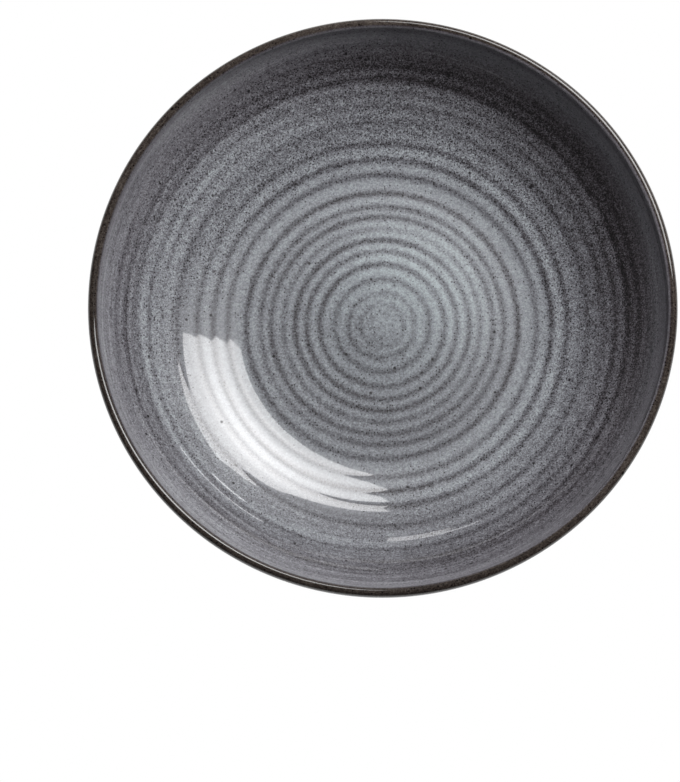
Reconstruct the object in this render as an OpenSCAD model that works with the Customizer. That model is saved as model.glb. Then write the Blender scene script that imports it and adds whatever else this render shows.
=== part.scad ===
// Deep stoneware plate: a thrown and turned clay body, and the glaze coats fired onto it.
// Millimetres. The origin is the middle of the foot ring, on the table, with +Z up.
// Every piece is one outline turned about Z. The clay's outline is a single list of points,
// and each coat covers a stretch of that list, so coats and clay meet face to face.

/* [Overall] */
// Diameter over the glazed rim
plate_dia = 235; // [210:1:270]
// Height of the glazed rim above the table
plate_h = 53.7; // [46:0.1:70]

/* [Lip] */
// Thickness of the clay at the lip
lip_t = 3; // [2.6:0.1:5.2]
// Depth of the brown rim band down the outside
band_out = 2.6; // [1:0.1:8]
// Depth of the brown rim band down the inside
band_in = 4; // [1:0.1:8]

/* [Floor] */
// Thickness of the clay floor at its centre
floor_t = 6; // [4.5:0.1:8]
// Radius of the flat floor, where the wall starts to turn up
floor_r = 57; // [45:1:62]
// Rise of the floor from its centre to the foot of the wall
floor_rise = 0.7; // [0:0.1:1]

/* [Foot] */
// Outer diameter of the foot ring at the table
foot_dia = 136; // [120:1:146]
// Width of the foot ring at the table
foot_w = 5.6; // [4:0.1:8]
// Outward lean of the foot's outer wall over its height
foot_lean = 1; // [0:0.1:2]
// Height of the foot's outer wall, below the cove
foot_h = 3; // [2:0.1:4.5]
// Depth of the recess inside the foot ring
recess_h = 7.8; // [6:0.1:9]
// Rounding of the foot ring's bottom edges
foot_round = 1; // [0.4:0.1:1.4]
// Rounding where the foot ring meets the recess
recess_round = 2; // [1:0.1:4]

/* [Belly] */
// Height at which the belly leaves the foot
belly_z = 9.4; // [8:0.1:10.5]
// Width of the turned cove between foot and belly
cove_w = 10.5; // [7:0.5:14]

/* [Throwing rings] */
// Height of the ridges between the finger channels
ridge_h = 0.5; // [0.2:0.1:1.2]

/* [Glaze] */
// Thickness of a glaze coat
glaze_t = 0.4; // [0.2:0.05:0.6]
// Height of the bare clay edge of the foot
bare_h = 1.6; // [1.5:0.1:1.9]

/* [Hidden] */
round_fn = 180;

// Steps along a rounded edge, the cove, the belly, a side of the rim band, the lip and a channel
edge_steps = 4;
cove_steps = 8;
belly_steps = 20;
band_steps = 3;
lip_steps = 12;
channel_steps = 4;

// Fullness of a wall low down and high up: 2 is an ellipse, less is leaner
belly_low_share = 2.1;
belly_high_share = 1.6;
well_low_share = 1.5;
well_high_share = 1.9;

// Ridges left by the thrower's fingers, as shares of the well's radius at the lip
// The first is the second one's mirror, so the middle of the floor is one round hollow
ridge_shares = [
    -0.045, 0.045, 0.08, 0.12, 0.17, 0.225, 0.27, 0.315, 0.355, 0.40, 0.44, 0.49,
    0.555, 0.61, 0.665, 0.74, 0.79, 0.835, 0.88, 0.915, 0.945, 0.97
];
// Coat left on top of a ridge, where the glaze runs thin
thin_share = 0.5;

foot_r = foot_dia / 2;
foot_in_r = foot_r - foot_w;
foot_top_r = foot_r + foot_lean;
rim_r = plate_dia / 2 - glaze_t;
lip_r = lip_t / 2;
rim_z = plate_h - glaze_t - lip_r;
well_r = rim_r - lip_t;
floor_z = recess_h + floor_t;
well_z = floor_z + floor_rise;

// How far a leaning wall has risen at a share u of its width, as a share of its height
function rise_share(u, low, high) = 1 - pow(1 - pow(u, low), 1 / high);
// The share of its width at which the same wall has risen by a share v of its height
function run_share(v, low, high) = pow(1 - pow(1 - v, high), 1 / low);

// Outside of the belly and inside of the well: a point at a share v of the height
function belly_point(v) = [
    foot_top_r + (rim_r - foot_top_r) * run_share(v, belly_low_share, belly_high_share),
    belly_z + (rim_z - belly_z) * v
];
function well_point(v) = [
    floor_r + (well_r - floor_r) * run_share(v, well_low_share, well_high_share),
    well_z + (rim_z - well_z) * v
];
// Height of the floor or the well's wall at a distance r from the centre
function well_height(r) = r < floor_r
    ? floor_z + floor_rise * pow(r / floor_r, 2)
    : well_z + (rim_z - well_z) * rise_share((r - floor_r) / (well_r - floor_r), well_low_share, well_high_share);

// The belly starts at the outer end of the cove
cove_share = rise_share(cove_w / (rim_r - foot_top_r), belly_low_share, belly_high_share);
cove_end = belly_point(cove_share);
// Both bands end at these shares of the walls' heights
out_share = 1 - band_out / (rim_z - belly_z);
in_share = 1 - band_in / (rim_z - well_z);
// The last ridge, and the steps from it to the inner edge of the band, evenly spread in height
last_ridge = ridge_shares[len(ridge_shares) - 1] * well_r;
last_share = (well_height(last_ridge) - well_z) / (rim_z - well_z);

// A point of the arc about c with radius r at angle a
function arc_point(c, r, a) = c + [r * cos(a), r * sin(a)];
// A point of the curve that leaves p towards q and arrives at s from q
function bend_point(p, q, s, t) = pow(1 - t, 2) * p + 2 * t * (1 - t) * q + pow(t, 2) * s;

// The foot's outer wall at height z
function foot_side(z) = [foot_r + foot_lean * (z - foot_round) / (foot_h - foot_round), z];
// The foot's wall and the belly's line at the cove's end would meet at this corner
belly_run = cove_end - belly_point(cove_share / 2);
cove_corner = [foot_top_r, cove_end.y - cove_w * belly_run.y / belly_run.x];

// The stretches of the clay's outline before any ridges, each without its last point.
// Each point is [r, z, how deep it lies in a channel, share of the full coat].
function plain(points) = [for (p = points) [p.x, p.y, 0, 1]];

underside = plain([
    [0, recess_h],
    for (k = [0 : edge_steps])
        arc_point([foot_in_r - recess_round, recess_h - recess_round], recess_round, 90 - 90 * k / edge_steps)
]);
bare_foot = plain([
    [foot_in_r, bare_h],
    for (k = [0 : edge_steps])
        arc_point([foot_in_r + foot_round, foot_round], foot_round, 180 + 90 * k / edge_steps),
    for (k = [0 : edge_steps])
        arc_point([foot_r - foot_round, foot_round], foot_round, 270 + 90 * k / edge_steps)
]);
foot_side_stretch = plain([
    foot_side(bare_h),
    for (k = [0 : cove_steps - 1])
        bend_point([foot_top_r, foot_h], cove_corner, cove_end, k / cove_steps)
]);
belly = plain([
    for (k = [0 : belly_steps - 1])
        belly_point(cove_share + (out_share - cove_share) * k / belly_steps)
]);
rim = plain([
    for (k = [0 : band_steps - 1])
        belly_point(out_share + (1 - out_share) * k / band_steps),
    for (k = [0 : lip_steps])
        arc_point([rim_r - lip_r, rim_z], lip_r, 180 * k / lip_steps),
    for (k = [1 : band_steps - 1])
        well_point(1 - (1 - in_share) * k / band_steps)
]);
top_of_well = plain([
    for (k = [0 : channel_steps - 1])
        well_point(in_share + (last_share - in_share) * k / channel_steps)
]);
// One channel lies between two ridges: deepest half way, and gone at each ridge
ridged_well = [
    for (i = [len(ridge_shares) - 1 : -1 : 1], k = [0 : channel_steps - 1])
        let (
            outer = ridge_shares[i] * well_r,
            inner = ridge_shares[i - 1] * well_r,
            r = outer + (inner - outer) * k / channel_steps,
            hollow = 4 * k / channel_steps * (1 - k / channel_steps)
        )
        if (r >= 0)
            [r, well_height(r), hollow, thin_share + (1 - thin_share) * hollow]
];

stretches = [underside, bare_foot, foot_side_stretch, belly, rim, concat(top_of_well, ridged_well)];
smooth = [for (s = stretches, p = s) p];
// Index of the first point of each stretch, and of the end
function start_of(n) = n == 0 ? 0 : start_of(n - 1) + len(stretches[n - 1]);

// Point i of a path, moved outwards by d. Beyond the axis, the path goes on as its own mirror.
function at(path, i) = i < 0
    ? [-path[1].x, path[1].y]
    : i < len(path) ? [path[i].x, path[i].y] : [-path[len(path) - 2].x, path[len(path) - 2].y];
function moved(path, i, d) =
    let (along = at(path, i + 1) - at(path, i - 1))
    at(path, i) + d * [along.y, -along.x] / norm(along);

clay = [for (i = [0 : len(smooth) - 1]) moved(smooth, i, -ridge_h * smooth[i][2])];

// The coat over one stretch of the clay, up to the first point of the next stretch
module coat(n) {
    first = start_of(n);
    last = min(start_of(n + 1), len(clay) - 1);
    rotate_extrude($fn = round_fn)
        polygon([
            for (i = [first : last]) moved(clay, i, glaze_t * smooth[i][3]),
            for (i = [last : -1 : first]) clay[i]
        ]);
}

module clay_body() {
    color([0.24, 0.20, 0.17])
        rotate_extrude($fn = round_fn)
            polygon(clay);
}

module underside_glaze() {
    color([0.30, 0.30, 0.29])
        coat(0);
}

module foot_glaze() {
    color([0.20, 0.17, 0.13])
        coat(2);
}

module outer_glaze() {
    color([0.36, 0.38, 0.39])
        coat(3);
}

module rim_band() {
    color([0.22, 0.19, 0.18])
        coat(4);
}

module inner_glaze() {
    color([0.48, 0.50, 0.52])
        coat(5);
}

clay_body();
inner_glaze();
outer_glaze();
rim_band();
foot_glaze();
underside_glaze();
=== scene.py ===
# A deep stoneware plate: its clay, the five glaze coats fired onto it, and a small white studio.
# Outlines are worked out in millimetres. Meshes, lamps and the camera are in metres.
import math

import bpy
import numpy as np
from mathutils import Matrix, Vector


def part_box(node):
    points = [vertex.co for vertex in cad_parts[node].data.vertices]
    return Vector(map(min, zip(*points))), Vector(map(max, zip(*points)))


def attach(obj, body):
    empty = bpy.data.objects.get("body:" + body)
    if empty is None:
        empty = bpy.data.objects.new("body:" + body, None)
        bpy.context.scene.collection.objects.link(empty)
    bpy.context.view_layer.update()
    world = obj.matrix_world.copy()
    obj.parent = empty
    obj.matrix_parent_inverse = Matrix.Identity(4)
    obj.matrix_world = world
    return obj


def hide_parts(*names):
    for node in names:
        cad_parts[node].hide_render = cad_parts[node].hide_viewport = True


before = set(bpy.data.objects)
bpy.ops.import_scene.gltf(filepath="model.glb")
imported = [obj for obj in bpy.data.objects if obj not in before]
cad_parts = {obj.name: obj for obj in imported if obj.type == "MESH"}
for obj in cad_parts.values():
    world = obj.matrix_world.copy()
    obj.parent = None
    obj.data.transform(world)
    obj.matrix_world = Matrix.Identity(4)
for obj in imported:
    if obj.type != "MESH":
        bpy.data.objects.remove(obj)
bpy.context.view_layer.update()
millimetre = 0.001
print("frame:", len(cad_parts), "nodes")


def sizeOf(node):
    # Largest radius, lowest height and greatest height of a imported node
    low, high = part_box(node)
    return high.x / millimetre, low.z / millimetre, high.z / millimetre


# The form. Sizes that the frame's boxes tell come from there.
rimRadius, _, plateHeight = sizeOf("rim_band")
clayRadius, _, clayHeight = sizeOf("clay_body")
footInside, bareHeight, recessHeight = sizeOf("underside_glaze")
form = {
    "lipThickness": 3.0,
    "floorThickness": 6.0,
    "floorRadius": 57.0,
    "floorRise": 0.7,
    "wellFullness": (1.5, 1.9),      # low down and high up: 2 is an ellipse, less is leaner
    "footRadius": 68.0,
    "footLean": 1.0,
    "footHeight": 3.0,
    "footRound": 1.0,
    "recessRound": 2.0,
    "bellyHeight": 9.4,
    "bellyFullness": (2.1, 1.6),
    "coveWidth": 10.5,
    "bandOutside": 2.6,
    "bandInside": 4.0,
    "offCentre": (0.2, 1.15),        # of the rim against the foot, to the right and away
    "wobble": 0.15,                  # how far the rim strays from a true circle
    "wobbleWide": ((0.6, 2, 1.9), (0.4, 3, 0.4)),    # its waves in width: share, count and phase
    "wobbleHigh": ((0.7, 2, 0.6), (0.4, 3, 2.1)),    # its waves in height
}
fineness = {
    "columns": 256,                  # points round the plate, the same on every piece
    "backStep": 1.5,                 # between rows of points on the hidden side of a coat
    "arc": 60,                       # points along each stretch, before evenly() spaces them
    "cove": 80,
    "floor": 400,
    "belly": 2000,
    "band": 300,
    "well": 3000,
    "sharpAngle": 50,                # degrees past which an edge isn't shaded smooth
}
coat = plateHeight - clayHeight      # thickness of a glaze coat
lipRadius = form["lipThickness"] / 2
lipHeight = clayHeight - lipRadius
wellRadius = clayRadius - form["lipThickness"]
floorHeight = recessHeight + form["floorThickness"]
wellHeight = floorHeight + form["floorRise"]
footTop = form["footRadius"] + form["footLean"]
theta = np.linspace(0, 2 * np.pi, fineness["columns"], endpoint=False)


def smooth(start, end, value):
    # 0 before start, 1 past end, and 3 t^2 - 2 t^3 between them. The start may be the greater.
    t = np.clip((value - start) / (end - start), 0, 1)
    return t * t * (3 - 2 * t)


def within(band, value):
    # Fades in between the first two of four values, and out between the last two
    start, full, fading, end = band
    return smooth(start, full, value) * smooth(end, fading, value)


def towards(angle):
    # Cosine of the angle round the plate from one side, which is given in degrees
    return np.cos(theta - np.radians(angle))


def facing(angle, fade):
    # 1 on one side and 0 on the others, with a fade between two cosines
    return smooth(*fade, towards(angle))


def runShare(rise, fullness):
    # Share of its width at which a wall has risen by a share of its height: run^low + (1 - rise)^high = 1
    low, high = fullness
    return (1 - (1 - rise) ** high) ** (1 / low)


def riseShare(run, fullness):
    # The same wall the other way round
    low, high = fullness
    return 1 - (1 - run ** low) ** (1 / high)


def bellyLine(rise):
    # Outside of the clay: foot's top + (width * run, height * rise), up to the widest point of the lip
    radius = footTop + (clayRadius - footTop) * runShare(rise, form["bellyFullness"])
    return np.stack([radius, form["bellyHeight"] + (lipHeight - form["bellyHeight"]) * rise])


def wellLine(rise):
    # Inside of the clay: floor's edge + (width * run, height * rise), up to the lip
    radius = form["floorRadius"] + (wellRadius - form["floorRadius"]) * runShare(rise, form["wellFullness"])
    return np.stack([radius, wellHeight + (lipHeight - wellHeight) * rise])


def arc(centreRadius, centreHeight, size, start, end):
    # Centre + size * (cos, sin), from one angle to another, in degrees
    angle = np.radians(np.linspace(start, end, fineness["arc"]))
    return np.stack([centreRadius + size * np.cos(angle), centreHeight + size * np.sin(angle)])


def straight(*points):
    # A line from point to point, each a radius and a height
    return np.array(points, float).T


def chain(*lines):
    # Lines joined end to end
    return np.concatenate([line[:, :-1] for line in lines[:-1]] + [lines[-1]], axis=1)


def evenly(line, step):
    # The same line with its points one step apart, measured along it
    length = np.concatenate([[0], np.cumsum(np.hypot(*np.diff(line, axis=1)))])
    places = np.linspace(0, length[-1], max(2, round(length[-1] / step)) + 1)
    return np.stack([np.interp(places, length, line[0]), np.interp(places, length, line[1])])


# The clay's outline, one stretch for each coat, from the underside's middle round to the floor's
outShare = 1 - form["bandOutside"] / (lipHeight - form["bellyHeight"])
inShare = 1 - form["bandInside"] / (lipHeight - wellHeight)
coveShare = riseShare(form["coveWidth"] / (clayRadius - footTop), form["bellyFullness"])
recess = footInside - form["recessRound"]
bareSide = form["footRadius"] + form["footLean"] * (
    (bareHeight - form["footRound"]) / (form["footHeight"] - form["footRound"]))


def coveLine():
    # (1 - t)^2 foot + 2 t (1 - t) corner + t^2 belly
    end = bellyLine(coveShare)
    run = end - bellyLine(coveShare / 2)
    corner = np.array([footTop, end[1] - form["coveWidth"] * run[1] / run[0]])
    foot = np.array([footTop, form["footHeight"]])
    t = np.linspace(0, 1, fineness["cove"])
    return np.outer(foot, (1 - t) ** 2) + np.outer(corner, 2 * t * (1 - t)) + np.outer(end, t ** 2)


def floorLine():
    # Floor + rise * (radius / floor's radius)^2
    radius = np.linspace(form["floorRadius"], 0, fineness["floor"])
    return np.stack([radius, floorHeight + form["floorRise"] * (radius / form["floorRadius"]) ** 2])


undersideLine = chain(
    straight((0, recessHeight), (recess, recessHeight)),
    arc(recess, recessHeight - form["recessRound"], form["recessRound"], 90, 0),
    straight((footInside, recessHeight - form["recessRound"]), (footInside, bareHeight)))
bareLine = chain(
    straight((footInside, bareHeight), (footInside, form["footRound"])),
    arc(footInside + form["footRound"], form["footRound"], form["footRound"], 180, 270),
    arc(form["footRadius"] - form["footRound"], form["footRound"], form["footRound"], 270, 360),
    straight((form["footRadius"], form["footRound"]), (bareSide, bareHeight)))
footLine = chain(straight((bareSide, bareHeight), (footTop, form["footHeight"])), coveLine())
outsideLine = bellyLine(np.linspace(coveShare, outShare, fineness["belly"]))
bandLine = chain(
    bellyLine(np.linspace(outShare, 1, fineness["band"])),
    arc(clayRadius - lipRadius, lipHeight, lipRadius, 0, 180),
    wellLine(np.linspace(1, inShare, fineness["band"])))
insideLine = chain(wellLine(np.linspace(inShare, 0, fineness["well"])), floorLine())
bandRadius = insideLine[0, 0]

# The thrower's rings in the well: low rounded ridges between the finger channels
rings = {
    "radii": (5.0, 8.9, 13.6, 19.3, 25.5, 30.7, 35.5, 40.2, 45.2, 49.6, 55.3, 62.9, 68.9, 75.2,
              80.4, 83.5, 89.7, 94.5, 99.4, 103.4, 106.9, 109.7),
    "strengths": (0.3, 0.55, 0.7, 0.9, 1.25, 1.3, 1.4, 0.8, 1.2, 1.05, 1.35, 1.0, 1.3, 0.95,
                  0.15, 0.75, 0.45, 0.7, 0.75, 0.7, 0.25, 0.15),
    "ridgeRadii": (57, 62, 76, 82, 112),
    "ridges": (0.004, 0.085, 0.085, 0.045, 0.03),    # height of a ridge of strength 1, at these radii
    "clayRidge": 0.22,               # the same ridge in the clay, where the glaze runs thin
    "halfWidth": 1.35,               # from the crest to 0.37 of its height
    "markWidth": 1.35,               # the same for the dark mark that it leaves in the glaze
    "channel": 0.0,                  # the glazed channels lie this far above the wall's own line,
    "clayChannel": -0.5,             # and the clay's channels here
    "waver": 0.12,                   # how far a ring strays from its circle
    "waverWaves": 4,                 # in up to so many waves round the plate
    "swell": 0.2,                    # how much its strength comes and goes
    "swellWaves": 8,
    "waveWeights": (0.4, 1.0),       # least and greatest weight of a wave
    "settle": 20.0,                  # the rings grow to their full height this far inside the rim band
    "seed": 7,
}
chance = np.random.default_rng(rings["seed"])


def roundWaves(count, fastest):
    # Sum over n of weight * sin(n theta + phase) / n: slow waves round the plate, one row for each ring
    waves = np.zeros((count, theta.size))
    for n in range(1, fastest + 1):
        phase = chance.uniform(0, 2 * np.pi, (count, 1))
        waves += chance.uniform(*rings["waveWeights"], (count, 1)) * np.sin(n * theta + phase) / n
    return waves


ringWander = rings["waver"] * roundWaves(len(rings["radii"]), rings["waverWaves"])
ringSwell = 1 + rings["swell"] * roundWaves(len(rings["radii"]), rings["swellWaves"])


def ringField(radius, halfWidth):
    # Sum over the rings of strength * exp(-((radius - ring) / halfWidth)^2)
    field = np.zeros(radius.shape)
    for place, strength, wander, swell in zip(rings["radii"], rings["strengths"], ringWander, ringSwell):
        field += strength * swell * np.exp(-((radius - place - wander) / halfWidth) ** 2)
    return field


def lifted(line, offset):
    # Each point of an outline moved square to it, to the right of its direction, all the way round
    along = np.gradient(line, axis=1)
    outward = np.stack([along[1], -along[0]]) / np.hypot(*along)
    return line[:, :, None] + outward[:, :, None] * offset


def layer(line, depth):
    # The surface that lies one depth over an outline of the clay, all the way round
    return lifted(line, np.full((line.shape[1], theta.size), depth))


def wholeRound(line):
    # The radius of each row, at every column
    return np.repeat(line[0][:, None], theta.size, axis=1)


def ridgeHeight(radius):
    return np.interp(radius, rings["ridgeRadii"], rings["ridges"])


def wellSurface(line, channel, ridge, edge):
    # channel + ridge * rings, and back to the band's level at the top of the wall
    radius = wholeRound(line)
    ringed = channel + ridge * ringField(radius, rings["halfWidth"])
    return lifted(line, edge + (ringed - edge) * smooth(0, rings["settle"], bandRadius - radius))


print("form:", insideLine.shape[1], "points inside")


# Turned meshes
def swing(waves):
    # Sum of share * cos(count * theta + phase)
    return sum(share * np.cos(count * theta + phase) for share, count, phase in waves)


def strayed(surface):
    # The rim isn't quite round or level: both swing by wobble * (height share * radius share)^2.
    # The wall also stands off the foot's middle, by offCentre * (height share above the floor)^2.
    radius, height = surface
    amount = form["wobble"] * (height / plateHeight * radius / rimRadius) ** 2
    wide = radius + amount * swing(form["wobbleWide"])
    lean = np.clip((height - wellHeight) / (plateHeight - wellHeight), 0, 1) ** 2
    across = wide * np.cos(theta) + form["offCentre"][0] * lean
    away = wide * np.sin(theta) + form["offCentre"][1] * lean
    return np.stack([across, away, height + amount * swing(form["wobbleHigh"])], axis=-1)


def turned(name, surface, closed):
    # (radius cos theta, radius sin theta, height) over rows x columns.
    # A closed outline ends where it starts. Another starts and ends on the axis, in a fan of triangles.
    grid = strayed(surface)
    poles = grid[[0, -1], 0]
    if not closed:
        grid = grid[1:-1]
    points = grid.reshape(-1, 3)
    index = np.arange(len(points)).reshape(grid.shape[:2])
    if closed:
        below, above = index, np.roll(index, -1, axis=0)
    else:
        below, above = index[:-1], index[1:]
    corners = (below, np.roll(below, -1, axis=1), np.roll(above, -1, axis=1), above)
    faces = np.stack(corners, axis=-1).reshape(-1, 4).tolist()
    if not closed:
        first, last = index[0], index[-1]
        under = np.full(theta.size, len(points))
        points = np.concatenate([points, poles])
        faces += np.stack([under, np.roll(first, -1), first], axis=-1).tolist()
        faces += np.stack([last, np.roll(last, -1), under + 1], axis=-1).tolist()
    mesh = bpy.data.meshes.new(name)
    mesh.from_pydata((points * millimetre).tolist(), [], faces)
    mesh.polygons.foreach_set("use_smooth", np.ones(len(mesh.polygons), bool))
    mesh.set_sharp_from_angle(angle=math.radians(fineness["sharpAngle"]))
    mesh.update()
    piece = bpy.data.objects.new(name, mesh)
    bpy.context.scene.collection.objects.link(piece)
    return piece


def marked(piece, closed, fields):
    # Numbers on the points, for the materials to read, in the order in which turned() made them
    for name, field in fields.items():
        if closed:
            values = field.ravel()
        else:
            values = np.concatenate([field[1:-1].ravel(), [field[0, 0], field[-1, 0]]])
        numbers = piece.data.attributes.new(name, "FLOAT", "POINT")
        numbers.data.foreach_set("value", values.astype(np.float32))


def dressed(piece, node, material):
    piece.data.materials.append(material)
    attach(piece, "root")
    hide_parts(node)
    print("piece:", piece.name, len(piece.data.polygons), "faces")


# Shader graphs
class Wire:
    # One output of a node tree. Sums written with it add their own Math nodes.
    def __init__(self, tree, socket=None):
        self.tree = tree
        self.socket = socket

    def node(self, kind, settings=None, inputs=None, output=0):
        made = self.tree.nodes.new(kind)
        for key, value in (settings or {}).items():
            if key == "stops":
                fillRamp(made.color_ramp, value)
            else:
                setattr(made, key, value)
        for key, value in (inputs or {}).items():
            if isinstance(value, Wire):
                self.tree.links.new(value.socket, made.inputs[key])
            else:
                made.inputs[key].default_value = value
        return Wire(self.tree, made.outputs[output] if made.outputs else None)

    def math(self, operation, *values):
        return self.node("ShaderNodeMath", {"operation": operation}, dict(enumerate(values)))

    def __add__(self, other):
        return self.math("ADD", self, other)

    def __radd__(self, other):
        return self.math("ADD", other, self)

    def __sub__(self, other):
        return self.math("SUBTRACT", self, other)

    def __rsub__(self, other):
        return self.math("SUBTRACT", other, self)

    def __mul__(self, other):
        return self.math("MULTIPLY", self, other)

    def __rmul__(self, other):
        return self.math("MULTIPLY", other, self)

    def __truediv__(self, other):
        return self.math("DIVIDE", self, other)

    def __rtruediv__(self, other):
        return self.math("DIVIDE", other, self)


def fillRamp(ramp, stops):
    # stops are (place, colour) pairs, in order
    while len(ramp.elements) < len(stops):
        ramp.elements.new(1)
    for element, (place, colour) in zip(ramp.elements, stops):
        element.position = place
        element.color = (*colour, 1)


def emptyTree(block):
    block.use_nodes = True
    block.node_tree.nodes.clear()
    return Wire(block.node_tree)


def attribute(paint, name):
    return paint.node("ShaderNodeAttribute", {"attribute_name": name}, output="Fac")


def millimetres(paint):
    # The place on the piece, in millimetres
    metres = paint.node("ShaderNodeTexCoord", output="Object")
    return paint.node("ShaderNodeVectorMath", {"operation": "SCALE"}, {0: metres, "Scale": 1 / millimetre})


def part(vector, axis):
    return vector.node("ShaderNodeSeparateXYZ", {}, {0: vector}, output=axis)


def stepped(value, low, high):
    # smooth() as a node
    settings = {"interpolation_type": "SMOOTHSTEP"}
    return value.node("ShaderNodeMapRange", settings, {"Value": value, "From Min": low, "From Max": high})


def mixed(paint, factor, first, second, blend="MIX"):
    # Sockets 6 and 7 and output 2 are the node's colours
    inputs = {0: factor, 6: first, 7: second}
    return paint.node("ShaderNodeMix", {"data_type": "RGBA", "blend_type": blend}, inputs, output=2)


noiseReach = 0.25                    # noise() stays mostly within this much of 0


def noise(paint, place, size, detail=1.0, roughness=0.5):
    # -0.5 to 0.5, with grains about one size apart
    inputs = {"Vector": place, "Scale": 1 / size, "Detail": detail, "Roughness": roughness}
    return paint.node("ShaderNodeTexNoise", {}, inputs) - 0.5


speck = {
    "core": 0.5,                     # share of a speck's radius at which it starts to fade,
    "rim": 1.3,                      # and at which it ends
    "lotEdge": 0.04,                 # how softly a cell's lot says whether it has a speck
}


def specks(paint, place, spacing, radius, share):
    # 1 inside small dots, spacing millimetres apart, in the given share of the cells
    inputs = {"Vector": place, "Scale": 1 / spacing}
    away = paint.node("ShaderNodeTexVoronoi", {}, inputs, output="Distance")
    draw = paint.node("ShaderNodeTexVoronoi", {}, inputs, output="Color")
    lot = paint.node("ShaderNodeSeparateColor", {}, {0: draw})
    shown = stepped(share - lot, -speck["lotEdge"], speck["lotEdge"])
    return shown * (1 - stepped(away, speck["core"] * radius / spacing, speck["rim"] * radius / spacing))


# Glaze colours by how light they look: thin glaze is dark, and thick glaze pale and cooler
greyGlaze = [
    (0.08, (0.0060, 0.0054, 0.0062)),
    (0.20, (0.0370, 0.0325, 0.0370)),
    (0.31, (0.0840, 0.0790, 0.0905)),
    (0.43, (0.1550, 0.1560, 0.1760)),
    (0.55, (0.2575, 0.2620, 0.2900)),
    (0.67, (0.3830, 0.4020, 0.4350)),
    (0.80, (0.5550, 0.6050, 0.6350)),
]
# Where it breaks over the lip, the iron in the clay turns it brown
brownGlaze = [
    (0.05, (0.0050, 0.0030, 0.0022)),
    (0.20, (0.0405, 0.0300, 0.0245)),
    (0.31, (0.0940, 0.0770, 0.0660)),
    (0.43, (0.1700, 0.1520, 0.1400)),
    (0.60, (0.3300, 0.3080, 0.2900)),
]
# The same brown over the foot and low on the belly, where it is more olive
oliveGlaze = [
    (0.05, (0.0050, 0.0034, 0.0018)),
    (0.20, (0.0430, 0.0315, 0.0190)),
    (0.31, (0.1000, 0.0795, 0.0550)),
    (0.43, (0.1800, 0.1540, 0.1180)),
    (0.60, (0.3400, 0.3080, 0.2650)),
]

# What all the coats share, so that their grain runs on from one to the next. Depths are in lightness.
glaze = {
    "colours": greyGlaze,
    "browns": brownGlaze,
    "coolTint": (0.94, 1.0, 0.985, 1),   # the grey is multiplied by the first where the glaze pools,
    "warmTint": (1.085, 1.0, 0.99, 1),   # and by the second where it thins up the wall
    "grainSize": 0.95,               # of the coarse grain, in millimetres
    "grain": 0.4,
    "fineSize": 0.5,
    "fineGrain": 0.4,
    "clumpSize": 2.6,                # of the clumps that the grain gathers in
    "clump": 0.13,
    "patchSize": 9.0,                # of the soft lighter and darker patches
    "patch": 0.06,
    "streakSize": 1.35,              # height of a level streak
    "streakReach": 70.0,             # its length round the wall
    "streak": 0.38,
    "ringDepth": 0.19,
    "ringGrain": 1.6,                # how much the grain breaks up a ring's dark mark
    "speckSpacing": 1.05,
    "speckRadius": 0.33,
    "speckDepth": 0.36,
    "clusterSize": 14.0,
    "cluster": 0.3,                  # how much the specks gather in clusters
    "pinholeSpacing": 5.0,
    "pinholeRadius": 0.62,
    "pinholeShare": 0.25,
    "pinholeDepth": 0.4,
    "brownEdge": 0.9,                # how much the grain breaks up the edge of the brown
    "brownFade": (0.25, 0.75),       # the glaze turns from grey to brown between these
    "roughness": 0.36,
    "baseShine": 0.5,
    "sheen": 0.0,                    # metallic share of the brown, iron-rich glaze
    "speckPit": 0.0,                 # how much of its shine a speck loses
    "coatRoughness": 0.03,
    "coatIOR": 1.65,
    "bumpDepth": 0.000008,           # in metres, for the grain
    "speckDent": 0.6,                # a speck's depth against it,
    "pinholeDent": 8.0,              # and a pinhole's
}


def levelStreaks(paint, place, look):
    # Noise drawn out along the wall: long across, short in height
    shape = (1 / look["streakReach"], 1 / look["streakReach"], 1 / look["streakSize"])
    drawn = paint.node("ShaderNodeVectorMath", {"operation": "MULTIPLY"}, {0: place, 1: shape})
    return noise(paint, drawn, 1.0, detail=3.0, roughness=0.6)


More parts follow.
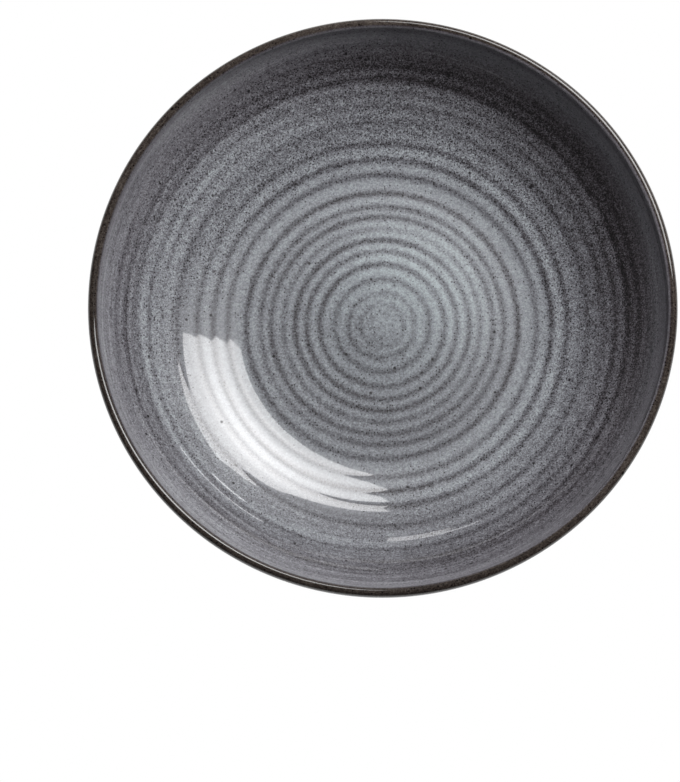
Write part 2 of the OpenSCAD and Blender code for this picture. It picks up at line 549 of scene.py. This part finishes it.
def glazeMaterial(name, look):
    # Lightness = tone + patches + streaks + grain - rings - specks, then the ramp's colour for it
    material = bpy.data.materials.new(name)
    paint = emptyTree(material)
    place = millimetres(paint)
    grainy = attribute(paint, "grain")
    speckled = attribute(paint, "speck")
    coarse = noise(paint, place, look["grainSize"])
    fine = noise(paint, place, look["fineSize"], detail=0.0)
    patches = noise(paint, place, look["patchSize"], detail=2.0)
    clumps = noise(paint, place, look["clumpSize"])
    grain = coarse * look["grain"] + clumps * look["clump"]
    ringed = attribute(paint, "ring") * look["ringDepth"] * (1 - grain * look["ringGrain"])
    clusters = noise(paint, place, look["clusterSize"]) * (look["cluster"] / noiseReach)
    dots = specks(paint, place, look["speckSpacing"], look["speckRadius"], speckled * (1 + clusters))
    few = paint.math("MINIMUM", speckled, look["pinholeShare"])
    holes = specks(paint, place, look["pinholeSpacing"], look["pinholeRadius"], few)
    lightness = (attribute(paint, "tone") + patches * look["patch"]
                 + levelStreaks(paint, place, look) * attribute(paint, "streak") * look["streak"]
                 + grainy * grain + attribute(paint, "fine") * fine * look["fineGrain"]
                 - ringed - dots * look["speckDepth"] - holes * look["pinholeDepth"])
    brown = stepped(attribute(paint, "brown") + coarse * look["brownEdge"], *look["brownFade"])
    plain = paint.node("ShaderNodeValToRGB", {"stops": look["colours"]}, {0: lightness})
    tint = mixed(paint, attribute(paint, "warmth"), look["coolTint"], look["warmTint"])
    grey = mixed(paint, 1.0, plain, tint, "MULTIPLY")
    bare = paint.node("ShaderNodeValToRGB", {"stops": look["browns"]}, {0: lightness})
    relief = coarse * grainy - dots * look["speckDent"] - holes * look["pinholeDent"]
    bump = paint.node("ShaderNodeBump", {}, {"Distance": look["bumpDepth"], "Height": relief})
    shader = paint.node("ShaderNodeBsdfPrincipled", {}, {
        "Base Color": mixed(paint, brown, grey, bare),
        "Roughness": look["roughness"],
        "Metallic": brown * look["sheen"],
        "Specular IOR Level": look["baseShine"],
        "Coat Weight": attribute(paint, "shine") - dots * look["speckPit"] - holes,
        "Coat Roughness": look["coatRoughness"],
        "Coat IOR": look["coatIOR"],
        "Normal": bump,
    })
    paint.node("ShaderNodeOutputMaterial", {}, {"Surface": shader})
    return material


# Inner glaze: lightest over the floor, drained and dark up the wall.
# Sides are in degrees. A band is four radii, for within(), and a fade two cosines, for facing().
inner = {
    **glaze,
    "cluster": 0.15,
    "step": 0.45,                    # between rows of points
    "toneRadii": (0, 10, 20, 30, 45, 56, 61, 68, 72, 76, 80, 85, 90, 95, 100, 104, 108, 111, 114),
    "tones": (0.59, 0.595, 0.61, 0.66, 0.62, 0.61, 0.61, 0.60, 0.60, 0.55, 0.52, 0.52, 0.51, 0.515, 0.455,
              0.43, 0.445, 0.50, 0.54),       # lightness between the rings, at these radii
    # Partly the glaze's own tone and partly painted light and shade: the floor lighter towards the key lamp,
    # the wall darker on the side that faces away from it
    "glazeAndLightLeans": (0.02, 0.055, 0.085, 0.085, 0.073, 0.027, 0.01, 0.0, -0.01, -0.03, -0.045, -0.075, -0.11, -0.13,
              -0.118, -0.12, -0.135, -0.13, -0.12),    # and how much lighter it is on one side, partly painted light and shade
    "glazeAndLightRadii": (30, 45, 55, 62, 90, 96, 102, 112),
    "glazeAndLightSides": (57, 60, 95, 20, 8, 8, 14, 30),       # which side that is
    "squash": 0.022,                 # how much darker the wall is on the right and left
    "squashBand": (80, 88, 94, 99),
    "saddle": 0.026,                 # how much lighter the floor is along one diagonal
    "saddleBand": (15, 28, 50, 60),
    "lifts": (                       # sides where it is lighter or darker, partly painted light and shade: side, amount and band
        (325, 0.05, (60, 68, 101, 106)),
        (150, 0.04, (80, 88, 94, 99)),
        (15, -0.022, (80, 88, 94, 99)),
        (60, 0.03, (60, 68, 81, 86)),
        (180, -0.06, (104, 112, 111, 116)),
        (40, 0.15, (108, 116, 120, 125)),
        (110, 0.15, (108, 116, 120, 125)),
    ),
    "liftFade": (0.7, 1.0),
    "edge": 0.06,                    # a step down in lightness where the wall's dark band starts, partly painted shade on the side that faces away from the key lamp
    "edgeRadius": 97.0,
    "edgeWidth": 1.5,
    "edgeBand": (86, 94, 102, 109),
    "shadedWallSide": 45.0,
    "edgeFade": (0.4, 0.9),
    "wallBand": (60, 76, 101, 114),  # where the wall's grain differs from the floor's and the lip's
    "roughSide": 70.0,               # where that grain is coarsest
    "calmSide": 220.0,               # where the glaze round the floor is smoothest
    "calmFade": (0.5, 0.85),
    "calmBand": (56, 62, 78, 86),
    # Of the floor and the wall, what the rough side and the lip add, and the share lost where it is calm
    "grains": {"floor": 0.88, "wall": 0.88, "rough": 0.3, "lip": -0.1, "calm": 0.5},
    "floorSwing": 0.14,              # how much less grain the floor has on its smooth side
    "smoothSide": 20.0,
    "lipGrainRadii": (98, 112),
    # The same for the fine grain and the specks, where wall, rough side and rings add to the floor's
    "fines": {"floor": 0.64, "wall": 0.3, "rough": 0.75, "calm": 0.6},
    "specks": {"floor": 0.10, "rough": 0.82, "ring": 0.27, "calm": 0.9, "most": 0.95},
    "streakRadii": (64, 96),
    "lipStreak": 0.4,                # added to the streaks under the lip
    "lipStreakRadii": (98, 104),
    "streaks": (0.8, 0.35),          # their strength, and how much it swings
    "streakSide": 240.0,             # where they are strongest
    "dull": 0.65,                    # shine lost under the lip on the rough side
    "dullRadii": (94, 99),
    "dullFade": (0.1, 0.85),
    "warmthRadii": (0, 20, 30, 45, 60, 84, 96, 106, 112),
    "warmths": (0.12, 0.14, 0.24, 0.3, 0.33, 0.42, 0.6, 0.86, 1.0),
    "warmSide": 30.0,
    "cool": 0.13,                    # half the share of its warmth that the wall loses opposite
    "coolRadii": (84, 96),
}


def toneInside(radius):
    # Tone + lean * cos(side) - squash * cos 2 theta + saddle * sin 2 theta - edge + lifts
    # The terms that change round the plate are partly painted light and shade: lighter towards the key lamp
    # on the floor, darker on the wall that faces away from it
    tone = np.interp(radius, inner["toneRadii"], inner["tones"])
    lean = np.interp(radius, inner["toneRadii"], inner["glazeAndLightLeans"])
    side = np.interp(radius, inner["glazeAndLightRadii"], inner["glazeAndLightSides"])
    squash = inner["squash"] * within(inner["squashBand"], radius)
    saddle = inner["saddle"] * within(inner["saddleBand"], radius)
    # Painted shade, in part: a step darker high on the wall, on the side that faces away from the key lamp
    step = smooth(-inner["edgeWidth"], inner["edgeWidth"], radius - inner["edgeRadius"]) - 0.5
    edge = inner["edge"] * step * within(inner["edgeBand"], radius)
    tone = tone + lean * towards(side) - squash * np.cos(2 * theta) + saddle * np.sin(2 * theta)
    tone -= edge * facing(inner["shadedWallSide"], inner["edgeFade"])
    for liftSide, amount, band in inner["lifts"]:
        tone += amount * within(band, radius) * facing(liftSide, inner["liftFade"])
    return tone


def wallShare(radius):
    return within(inner["wallBand"], radius)


def roughShare(radius):
    return wallShare(radius) * (0.5 + 0.5 * towards(inner["roughSide"]))


def calmShare(radius):
    return within(inner["calmBand"], radius) * facing(inner["calmSide"], inner["calmFade"])


def grainInside(radius):
    # The floor's grain, then the wall's, more on the rough side, and less under the lip and where it is calm
    grains = inner["grains"]
    floorGrain = grains["floor"] - inner["floorSwing"] * towards(inner["smoothSide"])
    grain = floorGrain + (grains["wall"] - floorGrain) * wallShare(radius)
    grain += grains["rough"] * roughShare(radius) + grains["lip"] * smooth(*inner["lipGrainRadii"], radius)
    return grain * (1 - grains["calm"] * calmShare(radius))


def fineInside(radius):
    fines = inner["fines"]
    fine = fines["floor"] + fines["wall"] * wallShare(radius) + fines["rough"] * roughShare(radius)
    return fine * (1 - fines["calm"] * calmShare(radius))


def specksInside(radius):
    amounts = inner["specks"]
    share = amounts["floor"] + amounts["rough"] * roughShare(radius)
    share += amounts["ring"] * ringField(radius, rings["markWidth"])
    return np.clip(share, 0, amounts["most"]) * (1 - amounts["calm"] * calmShare(radius))


def streaksInside(radius):
    strength, swings = inner["streaks"]
    underLip = inner["lipStreak"] * smooth(*inner["lipStreakRadii"], radius)
    rise = smooth(*inner["streakRadii"], radius) + underLip
    return rise * (strength + swings * towards(inner["streakSide"]))


def shineInside(radius):
    side = facing(inner["roughSide"], inner["dullFade"])
    return 1 - inner["dull"] * smooth(*inner["dullRadii"], radius) * side


def warmthInside(radius):
    cooler = inner["cool"] * smooth(*inner["coolRadii"], radius) * (1 - towards(inner["warmSide"]))
    return np.interp(radius, inner["warmthRadii"], inner["warmths"]) * (1 - cooler)


def innerGlaze():
    backLine = evenly(insideLine, fineness["backStep"])
    faceLine = evenly(insideLine, inner["step"])
    back = wellSurface(backLine, rings["clayChannel"], rings["clayRidge"], 0)[:, ::-1]
    face = wellSurface(faceLine, rings["channel"], ridgeHeight(wholeRound(faceLine)), coat)
    surface = np.concatenate([back, face], axis=1)
    piece = turned("innerGlaze", surface, closed=False)
    radius = surface[0]
    marked(piece, closed=False, fields={
        "tone": toneInside(radius),
        "ring": ringField(radius, rings["markWidth"]),
        "grain": grainInside(radius),
        "fine": fineInside(radius),
        "streak": streaksInside(radius),
        "speck": specksInside(radius),
        "shine": shineInside(radius),
        "warmth": warmthInside(radius),
    })
    return piece


dressed(innerGlaze(), "inner_glaze", glazeMaterial("innerGlaze", inner))

# How light the three outer coats are, from the table up
outside = {
    "heights": (0, 1.6, 5.8, 6.8, 8.2, 10, 13, 19, 24, 30, 42, 52),
    # The dip from 8.2 to 10 millimetres is partly painted shade in the cove between belly and foot
    "tones": (0.06, 0.18, 0.27, 0.34, 0.22, 0.24, 0.33, 0.43, 0.45, 0.38, 0.32, 0.32),
    "lean": 0.06,                    # painted light: how much lighter the belly is on one side
    "paintedLightHeights": (15, 35),
    "paintedLightSide": -25.0,
}


def outerTone(radius, height):
    # Fairly even over the belly, with painted light on one side, and darker where it turns in to the foot,
    # partly painted shade in the cove
    lean = outside["lean"] * smooth(*outside["paintedLightHeights"], height)
    return np.interp(height, outside["heights"], outside["tones"]) + lean * towards(outside["paintedLightSide"])


def graded(low, high, atLow, atHigh):
    # A rule for coatPiece(): one number up to the low height, another from the high one, smooth between
    return lambda radius, height: atLow + (atHigh - atLow) * smooth(low, high, height)


def coatPiece(name, line, look, closed, **rules):
    # A coat over one stretch of the clay. Each rule is a number, or gives one from a radius and a height.
    face = layer(evenly(line, look["step"]), coat)
    back = layer(evenly(line, fineness["backStep"]), 0)[:, ::-1]
    surface = np.concatenate([face, back], axis=1)
    piece = turned(name, surface, closed)
    radius, height = surface
    fields = {}
    for field, rule in {**look["fields"], **rules}.items():
        fields[field] = rule(radius, height) if callable(rule) else np.full(radius.shape, rule)
    marked(piece, closed, fields)
    return piece


# Rim band: the glaze runs off the lip and leaves it brown-black
rim = {
    **glaze,
    "step": 0.3,
    "brownEdge": 0.5,
    "baseShine": 0.1,
    "lipTone": 0.20,
    "fullDark": 0.1,                 # depth below the lip down to which it is as dark as that, inside
    "insideReach": 1.7,              # depth at which the dark fades out inside
    "insideSwing": 1.4,              # and how much that changes from side to side
    "insideSide": 205.0,
    "outsideReach": (3.4, 2.0),      # depths between which it fades in outside
    "brown": 0.7,                    # how brown the lip is
    "lowShine": 0.45,                # how shiny the band is at its foot outside,
    "shineReach": (2.2, 1.2),        # and the depths between which it gets its full shine
    "fields": {"grain": 0.6, "fine": 0.6, "streak": 0.6, "speck": 0.15, "warmth": 1.0},
}


def onInside(radius):
    return radius < rimRadius - coat - lipRadius


def lipShare(radius, height):
    # 1 on the lip, and 0 where the band ends on both sides
    depth = plateHeight - height
    reach = rim["insideReach"] + rim["insideSwing"] * towards(rim["insideSide"])
    inside = smooth(reach, rim["fullDark"], depth)
    return np.where(onInside(radius), inside, smooth(*rim["outsideReach"], depth))


def rimTone(radius, height):
    # Meets the tones of its two neighbours
    side = np.where(onInside(radius), toneInside(radius), outerTone(radius, height))
    return side + (rim["lipTone"] - side) * lipShare(radius, height)


def rimShine(radius, height):
    lowShine = rim["lowShine"]
    shineOutside = lowShine + (1 - lowShine) * smooth(*rim["shineReach"], plateHeight - height)
    return np.where(onInside(radius), shineInside(radius), shineOutside)


def rimBrown(radius, height):
    return rim["brown"] * lipShare(radius, height) ** 2


def rimBand():
    return coatPiece("rimBand", bandLine, rim, closed=True, tone=rimTone, shine=rimShine, brown=rimBrown)


dressed(rimBand(), "rim_band", glazeMaterial("rimBand", rim))

# Outer glaze: level streaks from the turning, specks in clusters, brown again low on the belly
outer = {
    **glaze,
    "browns": oliveGlaze,
    "sheen": 0.4,
    "step": 0.9,
    "grain": 0.36,
    "fineGrain": 0.34,
    "patch": 0.16,
    "patchSize": 16.0,
    "streak": 0.5,
    "streakSize": 2.2,
    "cluster": 1.5,
    "speckSpacing": 1.25,
    "speckRadius": 0.42,
    "speckDepth": 0.45,
    "speckPit": 0.75,
    "baseShine": 0.1,
    "coatIOR": 1.5,
    "fields": {
        "tone": outerTone,
        "grain": 0.8,
        "fine": 0.8,
        "streak": 1.0,
        "speck": graded(16, 40, 0.15, 0.60),
        "shine": graded(12, 27, 0.32, 1.0),
        "warmth": 0.6,
        "brown": graded(11, 20, 0.95, 0.0),
    },
}


def outerGlaze():
    return coatPiece("outerGlaze", outsideLine, outer, closed=True)


dressed(outerGlaze(), "outer_glaze", glazeMaterial("outerGlaze", outer))

# Foot glaze: thin, satin and dark olive brown
foot = {
    **glaze,
    "browns": oliveGlaze,
    "sheen": 0.4,
    "step": 0.4,
    "grain": 0.16,
    "fineGrain": 0.1,
    "streak": 0.3,
    "streakSize": 0.8,
    "speckDepth": 0.1,
    "baseShine": 0.1,
    "coatIOR": 1.5,
    "coatRoughness": 0.15,
    "fields": {
        "tone": outerTone,
        "grain": 0.8,
        "fine": 0.8,
        "streak": 1.0,
        "speck": 0.15,
        "shine": 0.35,
        "warmth": 1.0,
        "brown": 1.0,
    },
}


def footGlaze():
    return coatPiece("footGlaze", footLine, foot, closed=True)


dressed(footGlaze(), "foot_glaze", glazeMaterial("footGlaze", foot))

# Underside glaze: poured, plain and dark grey, and brown down the inside of the foot
underside = {
    **glaze,
    "step": 1.0,
    "grain": 0.26,
    "fineGrain": 0.2,
    "patch": 0.12,
    "baseShine": 0.2,
    "fields": {
        "tone": 0.33,
        "grain": 0.8,
        "fine": 0.8,
        "streak": 0.0,
        "speck": 0.3,
        "shine": 1.0,
        "warmth": 0.6,
        "brown": graded(3.5, 6.5, 1.0, 0.0),
    },
}


def undersideGlaze():
    return coatPiece("undersideGlaze", undersideLine, underside, closed=False)


dressed(undersideGlaze(), "underside_glaze", glazeMaterial("undersideGlaze", underside))

# Clay: dark, dry and matt, with the marks of the turning tool
clay = {
    "step": 1.5,
    "dark": (0.048, 0.037, 0.029, 1),
    "pale": (0.115, 0.090, 0.070, 1),
    "gritSize": 0.5,
    "markSize": 0.45,
    "mark": 0.6,                     # strength of the turning marks against the grit
    "edge": 0.3,                     # how softly dark and pale clay meet
    "roughness": 0.85,
    "bumpDepth": 0.00006,            # in metres
}


def clayMaterial():
    # Pale clay where marks + grit are high. The marks are noise over (radius, height), so they run round.
    material = bpy.data.materials.new("bareClay")
    paint = emptyTree(material)
    place = millimetres(paint)
    across, away, height = part(place, "X"), part(place, "Y"), part(place, "Z")
    radius = paint.math("SQRT", across * across + away * away)
    level = {"X": radius / clay["markSize"], "Z": height / clay["markSize"]}
    marks = noise(paint, paint.node("ShaderNodeCombineXYZ", {}, level), 1.0, detail=2.0)
    grit = noise(paint, place, clay["gritSize"], detail=2.0)
    share = stepped(marks * clay["mark"] + grit, -clay["edge"], clay["edge"])
    bump = paint.node("ShaderNodeBump", {}, {"Distance": clay["bumpDepth"], "Height": marks + grit})
    shader = paint.node("ShaderNodeBsdfPrincipled", {}, {
        "Base Color": mixed(paint, share, clay["dark"], clay["pale"]),
        "Roughness": clay["roughness"],
        "Normal": bump,
    })
    paint.node("ShaderNodeOutputMaterial", {}, {"Surface": shader})
    return material


def clayBody():
    lines = (undersideLine, bareLine, footLine, outsideLine, bandLine)
    stretches = [layer(evenly(line, clay["step"]), 0)[:, :-1] for line in lines]
    well = wellSurface(evenly(insideLine, clay["step"]), rings["clayChannel"], rings["clayRidge"], 0)
    return turned("clayBody", np.concatenate([*stretches, well], axis=1), closed=False)


dressed(clayBody(), "clay_body", clayMaterial())

# Studio
studio = {
    "ambient": 0.05,
    "backdropTop": 3.0,              # degrees above the horizon up to which the white backdrop reaches
    "backdropRise": 5.0,             # it reaches this much higher behind the plate, and lower in front
    "backdropEdge": 0.02,            # how softly it ends
    "keySize": (0.85, 0.72),
    "keyPlace": (0.438, 0.62, 1.0),
    "keyTurn": 7.3,
    "keyRadiance": 4.5,              # at its edges
    "keyCentre": (0.43, 0.49),       # its brightest place, as shares of its size
    "keyCentreGain": 1.15,
    "keyCentreReach": (0.29, 0.44),
    "keyCorner": (0.80, 0.48),       # a flag takes its near right corner: shares of its two sides
    "keyCornerEdge": 0.01,           # how softly the flag cuts
    "fillRadiance": 4.2,             # a second lamp in the same place, which isn't reflected
    "cards": (                       # strips for thin lines of light: azimuth, elevation, size, radiance
        (100.5, 30.0, (0.46, 0.022), 3.6),
        (57.0, 26.5, (0.22, 0.045), 5.5),
        (55.0, 21.5, (0.60, 0.045), 4.0),
    ),
    "cardDistance": 1.6,
    "tableSize": 6.0,
    "tableColour": (0.85, 0.85, 0.85, 1),
    "contactReach": 0.02,            # painted contact shadow: the table darkens this near the foot,
    "contactShade": 0.82,            # down to this
    "contactSamples": 8,
}
white = (1, 1, 1, 1)


def greyOf(level):
    return (level, level, level, 1)


def areaLamp(name, size, matrix, radiance):
    # Radiance L from an area A needs a power of pi * A * L
    lamp = bpy.data.lights.new(name, "AREA")
    lamp.shape = "RECTANGLE"
    lamp.size, lamp.size_y = size
    lamp.energy = math.pi * size[0] * size[1] * radiance
    holder = bpy.data.objects.new(name, lamp)
    bpy.context.scene.collection.objects.link(holder)
    holder.matrix_world = matrix
    holder.visible_camera = False
    return holder


def keyLamp(matrix):
    # Brightness over the lamp = 1 + gain * exp(-(wide^2 + deep^2)), and nothing past the flag
    paint = emptyTree(areaLamp("key", studio["keySize"], matrix, studio["keyRadiance"]).data)
    spot = paint.node("ShaderNodeNewGeometry", output="Parametric")
    across, away = part(spot, "X"), part(spot, "Y")
    wide = (across - studio["keyCentre"][0]) / studio["keyCentreReach"][0]
    deep = (away - studio["keyCentre"][1]) / studio["keyCentreReach"][1]
    centre = paint.math("EXPONENT", 0 - wide * wide - deep * deep)
    start, reach = studio["keyCorner"]
    past = across - start - away * ((1 - start) / reach)
    unflagged = 1 - stepped(past, -studio["keyCornerEdge"], studio["keyCornerEdge"])
    strength = (1 + centre * studio["keyCentreGain"]) * unflagged
    glow = paint.node("ShaderNodeEmission", {}, {"Strength": strength})
    paint.node("ShaderNodeOutputLight", {}, {"Surface": glow})


def cardLamp(azimuth, elevation, size, radiance):
    # Stands out along (cos elevation cos azimuth, cos elevation sin azimuth, sin elevation), facing in
    side, rise = math.radians(azimuth), math.radians(elevation)
    outward = Vector((math.cos(rise) * math.cos(side), math.cos(rise) * math.sin(side), math.sin(rise)))
    turn = outward.to_track_quat("Z", "Y").to_matrix().to_4x4()
    areaLamp("card", size, Matrix.Translation(outward * studio["cardDistance"]) @ turn, radiance)


def lights():
    turn = Matrix.Rotation(math.radians(studio["keyTurn"]), 4, "Z")
    matrix = Matrix.Translation(studio["keyPlace"]) @ turn
    keyLamp(matrix)
    areaLamp("fill", studio["keySize"], matrix, studio["fillRadiance"]).visible_glossy = False
    for card in studio["cards"]:
        cardLamp(*card)


def ray(paint, kind):
    # 1 for the rays of one kind
    return paint.node("ShaderNodeLightPath", output=f"Is {kind} Ray")


def sky():
    # White for the camera, and low round the horizon for reflections. Dim everywhere else.
    world = bpy.data.worlds.new("studio")
    bpy.context.scene.world = world
    paint = emptyTree(world)
    direction = paint.node("ShaderNodeTexCoord", output="Generated")
    top = math.radians(studio["backdropTop"]) + part(direction, "Y") * math.radians(studio["backdropRise"])
    low = 1 - stepped(part(direction, "Z") - top, -studio["backdropEdge"], studio["backdropEdge"])
    reflected = ray(paint, "Transmission") + ray(paint, "Glossy") * low
    shown = paint.math("MAXIMUM", ray(paint, "Camera"), reflected)
    colour = mixed(paint, shown, greyOf(studio["ambient"]), white)
    background = paint.node("ShaderNodeBackground", {}, {"Color": colour})
    paint.node("ShaderNodeOutputWorld", {}, {"Surface": background})


def tableMaterial():
    # White for the camera and for reflections, with a painted contact shadow beside the foot. Matt for all
    # other light.
    material = bpy.data.materials.new("whiteTable")
    paint = emptyTree(material)
    matt = paint.node("ShaderNodeBsdfDiffuse", {}, {"Color": studio["tableColour"]})
    settings, inputs = {"samples": studio["contactSamples"]}, {"Distance": studio["contactReach"]}
    near = paint.node("ShaderNodeAmbientOcclusion", settings, inputs, output="AO")
    colour = mixed(paint, near, greyOf(studio["contactShade"]), white)
    glow = paint.node("ShaderNodeEmission", {}, {"Color": colour})
    shown = ray(paint, "Camera") + ray(paint, "Glossy") + ray(paint, "Transmission")
    shader = paint.node("ShaderNodeMixShader", {}, {0: shown, 1: matt, 2: glow})
    paint.node("ShaderNodeOutputMaterial", {}, {"Surface": shader})
    return material


def tableTop():
    half = studio["tableSize"] / 2
    mesh = bpy.data.meshes.new("tableTop")
    corners = [(-half, -half, 0), (half, -half, 0), (half, half, 0), (-half, half, 0)]
    mesh.from_pydata(corners, [], [(0, 1, 2, 3)])
    mesh.materials.append(tableMaterial())
    table = bpy.data.objects.new("tableTop", mesh)
    bpy.context.scene.collection.objects.link(table)


lights()
sky()
tableTop()
print("studio:", len(bpy.data.lights), "lamps")

# Camera: above the plate and a little in front, with the plate above and right of the frame's middle
shot = {
    "elevation": 78.5,
    "distance": 1.56,                # from the middle of the rim's plane
    "frame": (680, 782),
    "plateMiddle": (382, 306),       # of the rim's plane, in pixels of that frame
    "pixelsPerMillimetre": 295.2 / 117.5,
    "sensorWidth": 36.0,
    "clipStart": 0.01,
}


def placeCamera():
    # Stands back from the rim's middle, and is turned until that middle falls on its pixel
    elevation = math.radians(shot["elevation"])
    focal = shot["distance"] / millimetre * shot["pixelsPerMillimetre"]    # in pixels
    ahead = Vector((0, math.cos(elevation), -math.sin(elevation)))
    right = Vector((1, 0, 0))
    up = right.cross(ahead)
    middle = Vector((0, 0, plateHeight * millimetre))
    across = (shot["frame"][0] / 2 - shot["plateMiddle"][0]) / focal
    down = (shot["plateMiddle"][1] - shot["frame"][1] / 2) / focal
    aim = ahead + right * across + up * down
    camera = bpy.data.cameras.new("camera")
    camera.sensor_width = shot["sensorWidth"]
    camera.lens = focal / max(shot["frame"]) * camera.sensor_width
    camera.clip_start = shot["clipStart"]
    holder = bpy.data.objects.new("camera", camera)
    bpy.context.scene.collection.objects.link(holder)
    holder.location = middle - ahead * shot["distance"]
    back = -aim.normalized()
    side = (right - back * right.dot(back)).normalized()
    holder.rotation_euler = Matrix((side, back.cross(side), back)).transposed().to_euler()
    bpy.context.scene.camera = holder


placeCamera()
print("camera placed")
bpy.context.scene.view_settings.view_transform = "Standard"
